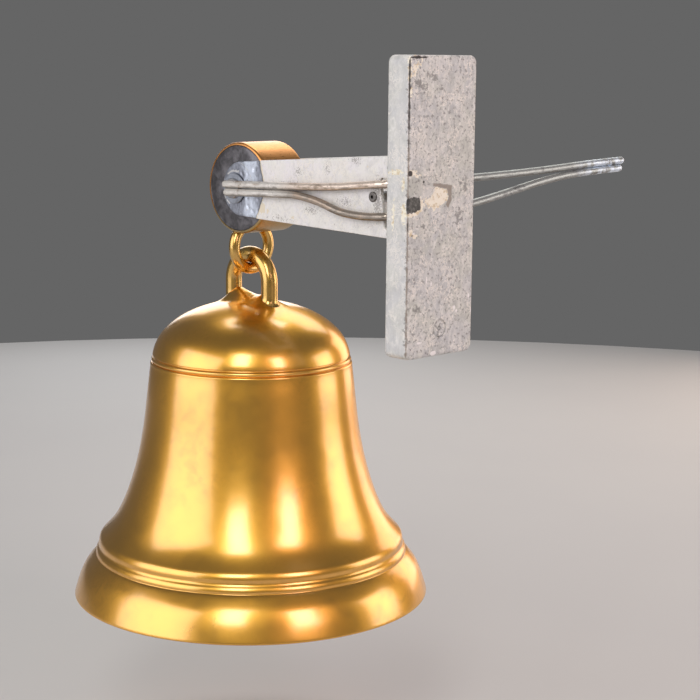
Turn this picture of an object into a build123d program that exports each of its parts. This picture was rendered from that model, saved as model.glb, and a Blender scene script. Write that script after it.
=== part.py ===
"""Wall-bracket bell: a bronze bell hung by a ring from a rocking hub, with a lever of two bent rods.

Millimetres. The origin is the centre of the wall plate's wall-side face. +Y points into the wall, +Z is up
and +X is the side that the lever comes from. The bell hangs on the -Y side, clear of the wall.
"""
from build123d import *
from math import radians, tan
import os

os.makedirs("parts", exist_ok=True)

# ---- wall plate -------------------------------------------------------------------------------
PLATE_W, PLATE_T, PLATE_H = 86.0, 26.0, 260.0
PLATE_CORNER_R, PLATE_EDGE_R = 7.0, 2.6
WALL_SCREW_Z = 105.5
FERRULE_OD, FERRULE_BORE, COUNTERSINK_D = 16.0, 6.6, 13.0

# ---- hub axis and bell axis -------------------------------------------------------------------
HUB_Y, HUB_Z = -237.4, 3.8
BELL_Y, LIP_Z = -247.0, -398.0

# ---- fork: two cheeks, lugs, tie bolt ----------------------------------------------------------
CHEEK_T, CHEEK_INNER_X = 4.2, 25.6
CHEEK_OUTER_X = CHEEK_INNER_X + CHEEK_T
CHEEK_END_R = 26.2
CHEEK_END_Y = -229.0
CHEEK_ROOT_TOP_Z, CHEEK_ROOT_BOTTOM_Z = 44.0, -28.2
CHEEK_EDGE_R = 0.9
NOTCH_TOP_Z, NOTCH_BOTTOM_Z = 24.2, -19.8
NOTCH_TOP_Y, NOTCH_BOTTOM_Y = -46.6, -39.6
NOTCH_R = 3.0
LUG_DEPTH = 15.0
UPPER_LUG_Z, LOWER_LUG_Z = (25.4, 41.5), (-27.3, -20.4)
CHEEK_SCREW_Y = -33.5
CHEEK_SCREW_Z = (33.5, -23.9)
CHEEK_SCREW_R, CHEEK_SCREW_HEAD_R, CHEEK_SCREW_HEAD_H = 1.5, 3.0, 1.6
CHEEK_SCREW_GRIP = 12.0
TIE_Y, TIE_Z = -54.0, 7.3
TIE_R, TIE_HEAD_R, TIE_HEAD_H = 2.5, 4.6, 1.3
TIE_SPACER_R, TIE_NUT_AF, TIE_NUT_H = 5.6, 8.0, 4.0
TIE_SOCKET_AF, TIE_SOCKET_DEPTH, TIE_TAIL = 3.0, 1.5, 2.0
SLOT_W, SLOT_DEPTH = 0.8, 0.7

# ---- hub: drum, core, shaft --------------------------------------------------------------------
DRUM_R, DRUM_LENGTH, DRUM_WALL, DRUM_RIM_R = 43.3, 50.4, 2.6, 2.2
DISC_T = 3.6
CORE_R = 15.0
SHAFT_R = 7.0
KEY_W, KEY_L = 4.0, 30.0
BUSH_OD, RUNNING_FIT = 20.0, 0.05
WASHER_R, WASHER_T, WASHER_GAP = 14.5, 1.2, 0.1
BOSS_R, BOSS_T = 9.5, 3.6
SHAFT_NUT_AF, SHAFT_NUT_H, SHAFT_TAIL = 20.0, 9.0, 4.5
SPLIT_PIN_R, SPLIT_PIN_EYE_R, SPLIT_PIN_WIRE_R = 1.4, 2.0, 0.9
SPLIT_PIN_BELOW, SPLIT_PIN_ABOVE = 3.5, 1.5

# ---- lever rods --------------------------------------------------------------------------------
ROD_R = 3.7
ROD_X = CHEEK_OUTER_X + WASHER_GAP + WASHER_T + 0.3 + ROD_R
WALL_RUN_Y = -32.0
UPPER_ROD = [
    (ROD_X, -244.5, 7.6), (ROD_X, -190, 9.6), (ROD_X, -142, 11.2), (ROD_X, -95, 13.6),
    (ROD_X, -60, 17.4), (ROD_X, WALL_RUN_Y, 19.8), (10, WALL_RUN_Y, 20.05), (-36, WALL_RUN_Y, 20.25),
    (-90, WALL_RUN_Y, 20.9), (-145, WALL_RUN_Y, 22.2), (-200, WALL_RUN_Y, 24.5), (-255, WALL_RUN_Y, 27.3),
    (-301, WALL_RUN_Y, 28.6),
]
LOWER_ROD = [
    (ROD_X, -242.5, 0.0), (ROD_X, -190, 2.0), (ROD_X, -146, 3.5), (ROD_X, -116, -0.8),
    (ROD_X, -91, -8.4), (ROD_X, -62, -10.4), (ROD_X, WALL_RUN_Y, -8.6), (8, WALL_RUN_Y, -7.6),
    (-34, WALL_RUN_Y, -6.4), (-80, WALL_RUN_Y, -2.4), (-125, WALL_RUN_Y, 4.6), (-168, WALL_RUN_Y, 12.0),
    (-206, WALL_RUN_Y, 16.8), (-250, WALL_RUN_Y, 19.6), (-298, WALL_RUN_Y, 21.0),
]

# ---- hanger ring and crown loop ----------------------------------------------------------------
RING_MAJOR_R, RING_R = 21.9, 5.4
RING_BAR_Z = -75.9
RING_Z = RING_BAR_Z + RING_MAJOR_R
LOOP_R, LOOP_INNER_R = 8.0, 18.0
LOOP_GAP = 0.3
LOOP_ARC_Z = RING_BAR_Z + RING_R + LOOP_GAP - LOOP_INNER_R
LOOP_FOOT_H, LOOP_FLARE_R = 280.0, 8.0

# ---- bell, heights above the lip plane ----------------------------------------------------------
LIP_R = 175.4
CROWN_H = 291.0
BOSS_INSIDE_R, BOSS_INSIDE_H = 22.0, 270.0

# ---- clapper -----------------------------------------------------------------------------------
PIN_H = 246.0
TANG_R, TANG_L = 7.0, 14.0
COLLAR_R, COLLAR_T = 15.0, 3.0
TONGUE_W, TONGUE_T = 26.0, 10.0
STAPLE_BUSH_OD, PIN_R = 14.0, 4.0
FORK_GAP, FORK_ARM_T, FORK_ARM_R = 0.4, 6.0, 11.0
FORK_CROTCH = 18.0
CLAPPER_L = 240.0
CLAPPER_BALL_R = 25.0
SHAFT_TOP_R, SHAFT_BOTTOM_R, SPIGOT_R = 7.5, 10.0, 7.0
FLIGHT_L, FLIGHT_TOP_R, FLIGHT_BOTTOM_R = 26.0, 10.0, 12.5
PIN_HEX_AF, PIN_HEAD_H, PIN_NUT_H, PIN_TAIL = 12.0, 4.5, 5.5, 2.5


def cyl_x(radius, x0, x1, y, z):
    """Round bar along X from x0 to x1."""
    return Pos((x0 + x1) / 2, y, z) * Rot(0, 90, 0) * Cylinder(radius, abs(x1 - x0))


def cyl_y(radius, y0, y1, x, z):
    """Round bar along Y from y0 to y1."""
    return Pos(x, (y0 + y1) / 2, z) * Rot(90, 0, 0) * Cylinder(radius, abs(y1 - y0))


def cyl_z(radius, z0, z1, x=0.0, y=0.0):
    """Upright round bar from z0 to z1."""
    return Pos(x, y, (z0 + z1) / 2) * Cylinder(radius, abs(z1 - z0))


def box(x, y, z):
    """Box from its limits along each axis."""
    centre = Pos((x[0] + x[1]) / 2, (y[0] + y[1]) / 2, (z[0] + z[1]) / 2)
    return centre * Box(abs(x[1] - x[0]), abs(y[1] - y[0]), abs(z[1] - z[0]))


def hex_x(across_flats, x0, x1, y, z):
    """Hexagon bar along X."""
    hexagon = RegularPolygon(across_flats / 2, 6, major_radius=False)
    return extrude(Plane.YZ.offset(min(x0, x1)) * Pos(y, z) * hexagon, abs(x1 - x0))


def save(name, *solids):
    """Write one node; several solids go in as a group."""
    shape = solids[0] if len(solids) == 1 else Compound(children=list(solids))
    export_step(shape, f"parts/{name}.step")


# ---- bracket -----------------------------------------------------------------------------------
def wall_plate():
    plate = box((-PLATE_W / 2, PLATE_W / 2), (-PLATE_T, 0), (-PLATE_H / 2, PLATE_H / 2))
    plate = fillet(plate.edges().filter_by(Axis.Y), PLATE_CORNER_R)
    rims = plate.faces().filter_by(Axis.Y).edges()
    plate = fillet(rims, PLATE_EDGE_R)
    for z in (UPPER_LUG_Z, LOWER_LUG_Z):
        plate += box((-CHEEK_INNER_X, CHEEK_INNER_X), (-PLATE_T - LUG_DEPTH, -PLATE_T + 1), z)
    for z in CHEEK_SCREW_Z:
        for side in (-1, 1):
            plate -= cyl_x(CHEEK_SCREW_R, side * CHEEK_INNER_X, side * (CHEEK_INNER_X - CHEEK_SCREW_GRIP),
                           CHEEK_SCREW_Y, z)
    for z in (WALL_SCREW_Z, -WALL_SCREW_Z):
        plate -= cyl_y(FERRULE_OD / 2, -PLATE_T, 0, 0, z)
    return plate


def screw_ferrule(z):
    """Steel sleeve that lines a wall screw's hole, countersunk on the room side."""
    sleeve = cyl_y(FERRULE_OD / 2, -PLATE_T, 0, 0, z) - cyl_y(FERRULE_BORE / 2, -PLATE_T, 0, 0, z)
    depth = (COUNTERSINK_D - FERRULE_BORE) / 2
    sink = Cone(COUNTERSINK_D / 2, FERRULE_BORE / 2, depth)
    sink = Pos(0, -PLATE_T + depth / 2, z) * Rot(-90, 0, 0) * sink
    return sleeve - sink


def cheek(side):
    """Side plate of the fork: round end at the hub, notch at the root for the lever rods."""
    end_top = HUB_Z + CHEEK_END_R
    end_bottom = HUB_Z - CHEEK_END_R
    root_y = -PLATE_T
    with BuildSketch(Plane.YZ) as outline:
        with BuildLine():
            Polyline((CHEEK_END_Y, end_top), (root_y, CHEEK_ROOT_TOP_Z), (root_y, CHEEK_ROOT_BOTTOM_Z),
                     (CHEEK_END_Y, end_bottom))
            ThreePointArc((CHEEK_END_Y, end_bottom), (CHEEK_END_Y - CHEEK_END_R, HUB_Z),
                          (CHEEK_END_Y, end_top))
        make_face()
        with BuildSketch(Plane.YZ, mode=Mode.SUBTRACT) as notch:
            with BuildLine():
                Polyline((root_y + 1, NOTCH_TOP_Z), (NOTCH_TOP_Y, NOTCH_TOP_Z),
                         (NOTCH_BOTTOM_Y, NOTCH_BOTTOM_Z), (root_y + 1, NOTCH_BOTTOM_Z), close=True)
            make_face()
            inner_corners = notch.vertices().sort_by(Axis.Y)[:2]
            fillet(inner_corners, NOTCH_R)
    plate = Pos(CHEEK_INNER_X, 0, 0) * extrude(outline.sketch, CHEEK_T)
    long_edges = plate.faces().sort_by(Axis.X)[-1].outer_wire().edges()
    plate = fillet(long_edges.filter_by(lambda e: e.center().Y < NOTCH_TOP_Y - 5), CHEEK_EDGE_R)
    for y, z, radius in [(HUB_Y, HUB_Z, BUSH_OD / 2), (TIE_Y, TIE_Z, TIE_R)] + [
            (CHEEK_SCREW_Y, z, CHEEK_SCREW_R) for z in CHEEK_SCREW_Z]:
        plate -= cyl_x(radius, CHEEK_INNER_X - 1, CHEEK_OUTER_X + 1, y, z)
    return plate if side > 0 else mirror(plate, Plane.YZ)


def cheek_screw(side, z):
    """Round-head screw through a cheek into a lug of the wall plate."""
    seat, tip = side * CHEEK_OUTER_X, side * (CHEEK_INNER_X - CHEEK_SCREW_GRIP)
    top = side * (CHEEK_OUTER_X + CHEEK_SCREW_HEAD_H)
    shank = cyl_x(CHEEK_SCREW_R, seat, tip, CHEEK_SCREW_Y, z)
    head = cyl_x(CHEEK_SCREW_HEAD_R, seat, top, CHEEK_SCREW_Y, z)
    outer_face = head.faces().sort_by(Axis.X)[-1 if side > 0 else 0]
    head = fillet(outer_face.edges(), CHEEK_SCREW_HEAD_H * 0.6)
    slot_y = (CHEEK_SCREW_Y - CHEEK_SCREW_HEAD_R, CHEEK_SCREW_Y + CHEEK_SCREW_HEAD_R)
    slot = box((top - side * SLOT_DEPTH, top + side), slot_y, (z - SLOT_W / 2, z + SLOT_W / 2))
    return shank + head - slot


def tie_bolt():
    end_x, top = -CHEEK_OUTER_X - TIE_NUT_H - TIE_TAIL, CHEEK_OUTER_X + TIE_HEAD_H
    head = cyl_x(TIE_HEAD_R, CHEEK_OUTER_X, top, TIE_Y, TIE_Z)
    head = fillet(head.faces().sort_by(Axis.X)[-1].edges(), TIE_HEAD_H * 0.7)
    socket = hex_x(TIE_SOCKET_AF, top - TIE_HEAD_H - TIE_SOCKET_DEPTH, top + 1, TIE_Y, TIE_Z)
    return cyl_x(TIE_R, CHEEK_OUTER_X, end_x, TIE_Y, TIE_Z) + head - socket


def tube_x(outer_r, inner_r, x0, x1, y, z):
    return cyl_x(outer_r, x0, x1, y, z) - cyl_x(inner_r, x0, x1, y, z)


def nut_x(across_flats, bore_r, x0, x1, y, z):
    return hex_x(across_flats, x0, x1, y, z) - cyl_x(bore_r, x0, x1, y, z)


def axle_bush(side):
    inner, outer = side * CHEEK_INNER_X, side * CHEEK_OUTER_X
    return tube_x(BUSH_OD / 2, SHAFT_R + RUNNING_FIT, inner, outer, HUB_Y, HUB_Z)


# ---- hub ---------------------------------------------------------------------------------------
def hanger_ring():
    return Pos(0, BELL_Y, RING_Z) * Rot(90, 0, 0) * Torus(RING_MAJOR_R, RING_R)


def drum_barrel(ring):
    """Brass tube with rounded rims; the ring passes through two holes in its underside."""
    half = DRUM_LENGTH / 2
    barrel = cyl_x(DRUM_R, -half, half, HUB_Y, HUB_Z)
    barrel = fillet(barrel.faces().filter_by(Axis.X).edges(), DRUM_RIM_R)
    barrel -= cyl_x(DRUM_R - DRUM_WALL, -half, half, HUB_Y, HUB_Z)
    return barrel - ring


def drum_disc(side):
    half = DRUM_LENGTH / 2
    return tube_x(DRUM_R - DRUM_WALL, SHAFT_R, side * (half - DISC_T), side * half, HUB_Y, HUB_Z)


def key_block():
    top, half = HUB_Z + SHAFT_R, KEY_W / 2
    return box((-KEY_L / 2, KEY_L / 2), (HUB_Y - half, HUB_Y + half), (top - half, top + half))


def drum_core(key):
    half = DRUM_LENGTH / 2 - DISC_T
    return tube_x(CORE_R, SHAFT_R, -half, half, HUB_Y, HUB_Z) - key


def far_side_x():
    """Places along the far end of the shaft: washer start, nut start, nut end, shaft end."""
    washer = -CHEEK_OUTER_X - WASHER_GAP
    nut = washer - WASHER_T
    return washer, nut, nut - SHAFT_NUT_H, nut - SHAFT_NUT_H - SHAFT_TAIL


def hub_shaft(key, rods, pin):
    near_end = CHEEK_OUTER_X + WASHER_GAP + WASHER_T + BOSS_T
    shaft = cyl_x(SHAFT_R, far_side_x()[3], near_end, HUB_Y, HUB_Z)
    shaft = chamfer(shaft.faces().sort_by(Axis.X)[0].edges(), 1.0)
    return shaft - key - rods[0] - rods[1] - pin


def lever_boss(rods):
    """Collar on the shaft's near end, grooved for the two rods that are brazed to it."""
    start = CHEEK_OUTER_X + WASHER_GAP + WASHER_T
    collar = cyl_x(BOSS_R, start, start + BOSS_T, HUB_Y, HUB_Z)
    collar = fillet(collar.faces().sort_by(Axis.X)[-1].edges(), 1.2)
    return collar - cyl_x(SHAFT_R, start, start + BOSS_T, HUB_Y, HUB_Z) - rods[0] - rods[1]


def thrust_washer(side):
    start = CHEEK_OUTER_X + WASHER_GAP
    return tube_x(WASHER_R, SHAFT_R, side * start, side * (start + WASHER_T), HUB_Y, HUB_Z)


def split_pin():
    nut_end = far_side_x()[2]
    x = nut_end - SHAFT_TAIL / 2
    low, high = HUB_Z - SHAFT_R - SPLIT_PIN_BELOW, HUB_Z + SHAFT_R + SPLIT_PIN_ABOVE
    leg = cyl_z(SPLIT_PIN_R, low, high, x, HUB_Y)
    eye_z = high + SPLIT_PIN_EYE_R - SPLIT_PIN_WIRE_R / 3
    head = Pos(x, HUB_Y, eye_z) * Rot(0, 90, 0) * Torus(SPLIT_PIN_EYE_R, SPLIT_PIN_WIRE_R)
    return leg + head


def shaft_nut():
    _, start, end, _ = far_side_x()
    return nut_x(SHAFT_NUT_AF, SHAFT_R, end, start, HUB_Y, HUB_Z)


def corner_radii(points):
    """Largest tangent arc at each corner that leaves a little of both runs straight."""
    radii = []
    for before, here, after in zip(points, points[1:], points[2:]):
        into, out = Vector(*here) - Vector(*before), Vector(*after) - Vector(*here)
        half_turn = radians(into.get_angle(out)) / 2
        radii.append(0.45 * min(into.length, out.length) / tan(half_turn))
    return radii


def lever_rod(points):
    """Round rod bent along its route, with ball ends."""
    path = FilletPolyline(*points, radius=corner_radii(points))
    section = Plane(origin=path @ 0, z_dir=path % 0) * Circle(ROD_R)
    rod = sweep(section, path)
    for end in (points[0], points[-1]):
        rod += Pos(*end) * Sphere(ROD_R)
    return rod


# ---- bell --------------------------------------------------------------------------------------
def bell_profile():
    """Half section of the bell wall: X is the radius, Y is the height above the lip."""
    with BuildSketch(Plane.XZ) as section:
        with BuildLine():
            # rim and sound bow, up to the notch under the waist's roll
            Line((166.5, 0), (174.2, 0))
            ThreePointArc((174.2, 0), (175.1, 0.4), (LIP_R, 1.3))
            Spline((LIP_R, 1.3), (172.6, 10), (168.0, 22), (161.0, 34), (153.9, 45.4),
                   tangents=((-0.12, 1), (-0.6, 1)))
            ThreePointArc((153.9, 45.4), (152.6, 47.4), (150.8, 48.4))
            ThreePointArc((150.8, 48.4), (150.1, 49.4), (151.0, 50.4))
            ThreePointArc((151.0, 50.4), (151.3, 53.4), (148.6, 56.4))
            # waist
            Spline((148.6, 56.4), (136.2, 72), (125.2, 95), (113.8, 130), (105.2, 175), (100.0, 220),
                   (98.9, 229.6), tangents=((-0.8, 1), (-0.08, 1)))
            # double line at the shoulder
            ThreePointArc((98.9, 229.6), (98.4, 231.2), (96.9, 231.8))
            ThreePointArc((96.9, 231.8), (97.9, 234.0), (96.6, 236.2))
            ThreePointArc((96.6, 236.2), (95.5, 237.3), (96.7, 238.4))
            # dome
            Spline((96.7, 238.4), (95.6, 243.6), (90.4, 255), (78.5, 268), (56.0, 281), (28.0, 288.8),
                   (0, CROWN_H), tangents=((-0.1, 1), (-1, 0)))
            # inside, from the crown boss back to the lip
            Polyline((0, CROWN_H), (0, BOSS_INSIDE_H), (BOSS_INSIDE_R, BOSS_INSIDE_H),
                     (BOSS_INSIDE_R + 5, 274.5))
            Spline((BOSS_INSIDE_R + 5, 274.5), (50, 270.5), (72, 259.5), (86, 240), (91, 215),
                   tangents=((1, -0.1), (0.12, -1)))
            Spline((91, 215), (97.4, 170), (106.4, 125), (119.5, 85), (133.5, 56), (144.5, 28), (153, 12),
                   (166.5, 0), tangents=((0.12, -1), (1, -0.45)))
        make_face()
    return section.sketch


def crown_loop():
    """Cast loop on the crown: an arch of round bar standing on two legs."""
    centre_r = LOOP_INNER_R + LOOP_R
    arch_h = LOOP_ARC_Z - LIP_Z
    loop = revolve(Pos(0, centre_r, arch_h) * Circle(LOOP_R), Axis((0, 0, arch_h), (1, 0, 0)), 180)
    for y in (-centre_r, centre_r):
        loop += cyl_z(LOOP_R, LOOP_FOOT_H, arch_h, 0, y)
    return loop


def bell():
    body = revolve(bell_profile(), Axis.Z, 360)
    solid = body + crown_loop()
    solid = soften_loop_feet(solid)
    solid -= staple_tang()
    return Pos(0, BELL_Y, LIP_Z) * solid


def soften_loop_feet(solid):
    """Fillet where the loop's legs grow out of the dome."""
    def is_foot(edge):
        low, high = edge.bounding_box().min.Z, edge.bounding_box().max.Z
        return LOOP_FOOT_H < low < high - 0.5 and high < CROWN_H + 5 and abs(edge.center().Y) > LOOP_R
    return fillet(solid.edges().filter_by(is_foot), LOOP_FLARE_R)


def staple_tang():
    return cyl_z(TANG_R, BOSS_INSIDE_H, BOSS_INSIDE_H + TANG_L)


def crown_staple():
    """Iron staple cast into the crown: tang, collar and a tongue with the clapper's bearing hole."""
    collar = cyl_z(COLLAR_R, BOSS_INSIDE_H - COLLAR_T, BOSS_INSIDE_H)
    x, y = (-TONGUE_T / 2, TONGUE_T / 2), (-TONGUE_W / 2, TONGUE_W / 2)
    tongue = box(x, y, (PIN_H, BOSS_INSIDE_H - COLLAR_T)) + cyl_x(TONGUE_W / 2, x[0], x[1], 0, PIN_H)
    hole = cyl_x(STAPLE_BUSH_OD / 2, -TONGUE_T, TONGUE_T, 0, PIN_H)
    return Pos(0, BELL_Y, LIP_Z) * (staple_tang() + collar + tongue - hole)


def staple_bush():
    half, bore_r = TONGUE_T / 2, PIN_R + RUNNING_FIT
    return tube_x(STAPLE_BUSH_OD / 2, bore_r, -half, half, BELL_Y, LIP_Z + PIN_H)


# ---- clapper -----------------------------------------------------------------------------------
def clapper_shaft():
    """Forged shaft: a fork over the staple's tongue, a tapered stem and a spigot through the ball."""
    arm_in = TONGUE_T / 2 + FORK_GAP
    arm_out = arm_in + FORK_ARM_T
    crotch = PIN_H - FORK_CROTCH
    ball_h = PIN_H - CLAPPER_L
    fork = None
    for side in (-1, 1):
        x = sorted((side * arm_in, side * arm_out))
        arm = box(x, (-FORK_ARM_R, FORK_ARM_R), (crotch, PIN_H))
        arm += cyl_x(FORK_ARM_R, x[0], x[1], 0, PIN_H)
        fork = arm if fork is None else fork + arm
    fork += box((-arm_out, arm_out), (-FORK_ARM_R, FORK_ARM_R), (crotch - 10, crotch))
    fork = fillet(fork.edges().filter_by(Axis.Y).filter_by(lambda e: e.center().Z < crotch - 9), 4.0)
    fork -= cyl_x(PIN_R, -arm_out - 1, arm_out + 1, 0, PIN_H)
    stem_top, stem_bottom = crotch - 9, ball_h + CLAPPER_BALL_R - 3
    stem_middle, stem_l = (stem_top + stem_bottom) / 2, stem_top - stem_bottom
    stem = Pos(0, 0, stem_middle) * Cone(SHAFT_BOTTOM_R, SHAFT_TOP_R, stem_l)
    spigot = cyl_z(SPIGOT_R, ball_h - CLAPPER_BALL_R, stem_bottom)
    return Pos(0, BELL_Y, LIP_Z) * (fork + stem + spigot)


def clapper_ball(shaft):
    ball = Pos(0, BELL_Y, LIP_Z + PIN_H - CLAPPER_L) * Sphere(CLAPPER_BALL_R)
    return ball - shaft


def clapper_flight(shaft):
    """Short tapered tail below the ball that gives the clapper its throw."""
    top = PIN_H - CLAPPER_L - CLAPPER_BALL_R + 2
    cone = Pos(0, BELL_Y, LIP_Z + top - FLIGHT_L / 2) * Cone(FLIGHT_BOTTOM_R, FLIGHT_TOP_R, FLIGHT_L)
    cone = fillet(cone.faces().sort_by(Axis.Z)[0].edges(), 4.0)
    ball = Pos(0, BELL_Y, LIP_Z + PIN_H - CLAPPER_L) * Sphere(CLAPPER_BALL_R)
    return cone - ball - shaft


def pin_places():
    """X of the fork's outer faces on the head side and the nut side."""
    outer = TONGUE_T / 2 + FORK_GAP + FORK_ARM_T
    return outer, -outer


def clapper_pin():
    head_x, nut_x_start = pin_places()
    y, z = BELL_Y, LIP_Z + PIN_H
    head = hex_x(PIN_HEX_AF, head_x, head_x + PIN_HEAD_H, y, z)
    return cyl_x(PIN_R, nut_x_start - PIN_NUT_H - PIN_TAIL, head_x, y, z) + head


def clapper_pin_nut():
    start = pin_places()[1]
    return nut_x(PIN_HEX_AF, PIN_R, start - PIN_NUT_H, start, BELL_Y, LIP_Z + PIN_H)


# ---- write every node --------------------------------------------------------------------------
def build_bracket():
    save("wall_plate", wall_plate())
    save("screw_ferrules", screw_ferrule(WALL_SCREW_Z), screw_ferrule(-WALL_SCREW_Z))
    save("near_cheek", cheek(1))
    save("far_cheek", cheek(-1))
    save("cheek_screws", *[cheek_screw(side, z) for side in (-1, 1) for z in CHEEK_SCREW_Z])
    save("tie_bolt", tie_bolt())
    save("tie_spacer", tube_x(TIE_SPACER_R, TIE_R, -CHEEK_INNER_X, CHEEK_INNER_X, TIE_Y, TIE_Z))
    save("tie_nut", nut_x(TIE_NUT_AF, TIE_R, -CHEEK_OUTER_X - TIE_NUT_H, -CHEEK_OUTER_X, TIE_Y, TIE_Z))
    save("axle_bushes", axle_bush(1), axle_bush(-1))


def build_hub():
    ring, key, pin = hanger_ring(), key_block(), split_pin()
    rods = [lever_rod(UPPER_ROD), lever_rod(LOWER_ROD)]
    save("hanger_ring", ring)
    save("drum_barrel", drum_barrel(ring))
    save("near_drum_disc", drum_disc(1))
    save("far_drum_disc", drum_disc(-1))
    save("drum_core", drum_core(key))
    save("hub_key", key)
    save("hub_shaft", hub_shaft(key, rods, pin))
    save("lever_boss", lever_boss(rods))
    save("thrust_washers", thrust_washer(1), thrust_washer(-1))
    save("shaft_nut", shaft_nut())
    save("split_pin", pin)
    save("upper_lever_rod", rods[0])
    save("lower_lever_rod", rods[1])


def build_bell():
    save("bell", bell())
    save("crown_staple", crown_staple())
    save("staple_bush", staple_bush())


def build_clapper():
    shaft = clapper_shaft()
    save("clapper_shaft", shaft)
    save("clapper_ball", clapper_ball(shaft))
    save("clapper_flight", clapper_flight(shaft))
    save("clapper_pin", clapper_pin())
    save("clapper_pin_nut", clapper_pin_nut())


build_bracket()
build_hub()
build_bell()
build_clapper()
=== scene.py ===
import bpy
import bmesh
import numpy as np
from math import acos, atan2, ceil, cos, hypot, pi, radians, sin, tan
from mathutils import Matrix, Vector, noise
from mathutils.geometry import delaunay_2d_cdt


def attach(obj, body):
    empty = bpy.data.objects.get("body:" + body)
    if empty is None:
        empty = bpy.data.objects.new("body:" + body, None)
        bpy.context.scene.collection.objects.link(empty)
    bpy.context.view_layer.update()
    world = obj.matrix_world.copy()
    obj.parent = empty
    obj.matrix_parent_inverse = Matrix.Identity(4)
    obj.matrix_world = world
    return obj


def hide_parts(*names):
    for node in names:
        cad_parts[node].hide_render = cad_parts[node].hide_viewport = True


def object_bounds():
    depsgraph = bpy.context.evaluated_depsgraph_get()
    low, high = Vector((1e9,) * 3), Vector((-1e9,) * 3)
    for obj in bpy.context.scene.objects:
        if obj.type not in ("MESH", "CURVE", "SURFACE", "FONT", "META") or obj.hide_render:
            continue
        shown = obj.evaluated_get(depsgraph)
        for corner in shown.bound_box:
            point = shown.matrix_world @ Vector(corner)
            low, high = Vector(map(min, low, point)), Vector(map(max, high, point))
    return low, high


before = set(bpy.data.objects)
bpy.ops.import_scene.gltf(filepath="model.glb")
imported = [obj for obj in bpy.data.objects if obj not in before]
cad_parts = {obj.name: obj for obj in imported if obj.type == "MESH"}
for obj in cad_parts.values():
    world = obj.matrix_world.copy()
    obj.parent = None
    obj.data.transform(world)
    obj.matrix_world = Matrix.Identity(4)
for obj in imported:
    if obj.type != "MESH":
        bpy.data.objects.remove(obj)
cad_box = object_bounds()
MM = 0.001
TAU = 2 * pi

# ---- sizes in millimetres, row frame: +X the lever's side, +Y into the wall, +Z up ----
PLATE_HALF_W, PLATE_T, PLATE_HALF_H = 43.0, 26.0, 130.0
PLATE_CORNER_R, PLATE_EDGE_R = 7.0, 2.6
WALL_SCREW_Z, FERRULE_R = 105.5, 8.0
HUB_Y, HUB_Z = -237.4, 3.8
BELL_Y, LIP_Z, SHOULDER_H = -247.0, -398.0, 238.0
CHEEK_IN, CHEEK_OUT, CHEEK_EDGE_R = 25.6, 29.8, 0.9
ROD_R, ROD_X, RUN_Y = 3.7, 35.1, -32.0
ROD_TURNS_BROWN, ROD_TURNS_GREY, ROD_END = (-178.0, -138.0), (20.0, -30.0), (-215.0, -262.0)
LOOP_R, LOOP_MAJOR, ARCH_H, FOOT_FILLET = 8.0, 26.0, 309.8, 8.0
SADDLE = [(-44, 0), (-36, 2), (-29, 6.5), (-23, 11.5), (-18, 12.5), (-13, 10.5), (-6, 8), (2, 6.4), (9, 6.2),
          (15, 7.6), (19, 9), (26, 7), (34, 2), (42, 0)]
SADDLE_HALF_W = 22.0
RING_MAJOR, RING_R, RING_Z = 21.9, 5.4, -54.0
DRUM_R, DRUM_HALF, DRUM_WALL, DRUM_RIM, SHAFT_R = 43.3, 25.2, 2.6, 2.2, 7.0
SEAT_AIR, RING_HOLE_AIR, FERRULE_AIR, WASHER_AIR = 0.12, 0.35, 0.15, 0.1
PLATE_STEP, CHEEK_STEP, LUG_STEP = 1.15, 1.3, 1.6        # mesh sizes
BELL_SEGMENTS, OUTER_STEP, INNER_STEP = 256, 2.0, 4.0
OUTSIDE, ANY = -9.0, 99              # a field's value far from any mark; a half size that takes in everything


# ---- small numpy helpers ----
def fbm(points, scale, octaves=3, seed=0.0):
    """Fractal noise in -1..1 at points (n, 3) in millimetres; scale is the size of the largest bumps."""
    out = np.empty(len(points))
    for i, p in enumerate(points):
        v = Vector((p[0] / scale + seed, p[1] / scale - seed, p[2] / scale + 2 * seed))
        out[i] = noise.fractal(v, 1.0, 2.0, octaves)
    return out


def smoothstep(low, high, x):
    t = np.clip((x - low) / (high - low), 0, 1)
    return t * t * (3 - 2 * t)


def curve_through(points, step, first, last):
    """Points at about `step` along a cubic spline through `points`; first and last are end tangents."""
    p = np.array(points, float)
    seg = np.linalg.norm(np.diff(p, axis=0), axis=1)
    n = len(p)
    a, b = np.zeros((n, n)), np.zeros(p.shape)
    for i in range(1, n - 1):
        h0, h1 = seg[i - 1], seg[i]
        a[i, i - 1], a[i, i], a[i, i + 1] = h1, 2 * (h0 + h1), h0
        b[i] = 3 * (h1 * (p[i] - p[i - 1]) / h0 + h0 * (p[i + 1] - p[i]) / h1)
    a[0, 0] = a[-1, -1] = 1
    b[0], b[-1] = (np.array(t) / np.linalg.norm(t) for t in (first, last))
    m = np.linalg.solve(a, b)
    out = []
    for i in range(n - 1):
        k = max(2, int(ceil(seg[i] / step)))
        for s in np.arange(k) / k:
            out.append((2 * s**3 - 3 * s**2 + 1) * p[i] + (s**3 - 2 * s**2 + s) * seg[i] * m[i]
                       + (3 * s**2 - 2 * s**3) * p[i + 1] + (s**3 - s**2) * seg[i] * m[i + 1])
    out.append(p[-1])
    return np.array(out)


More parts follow.
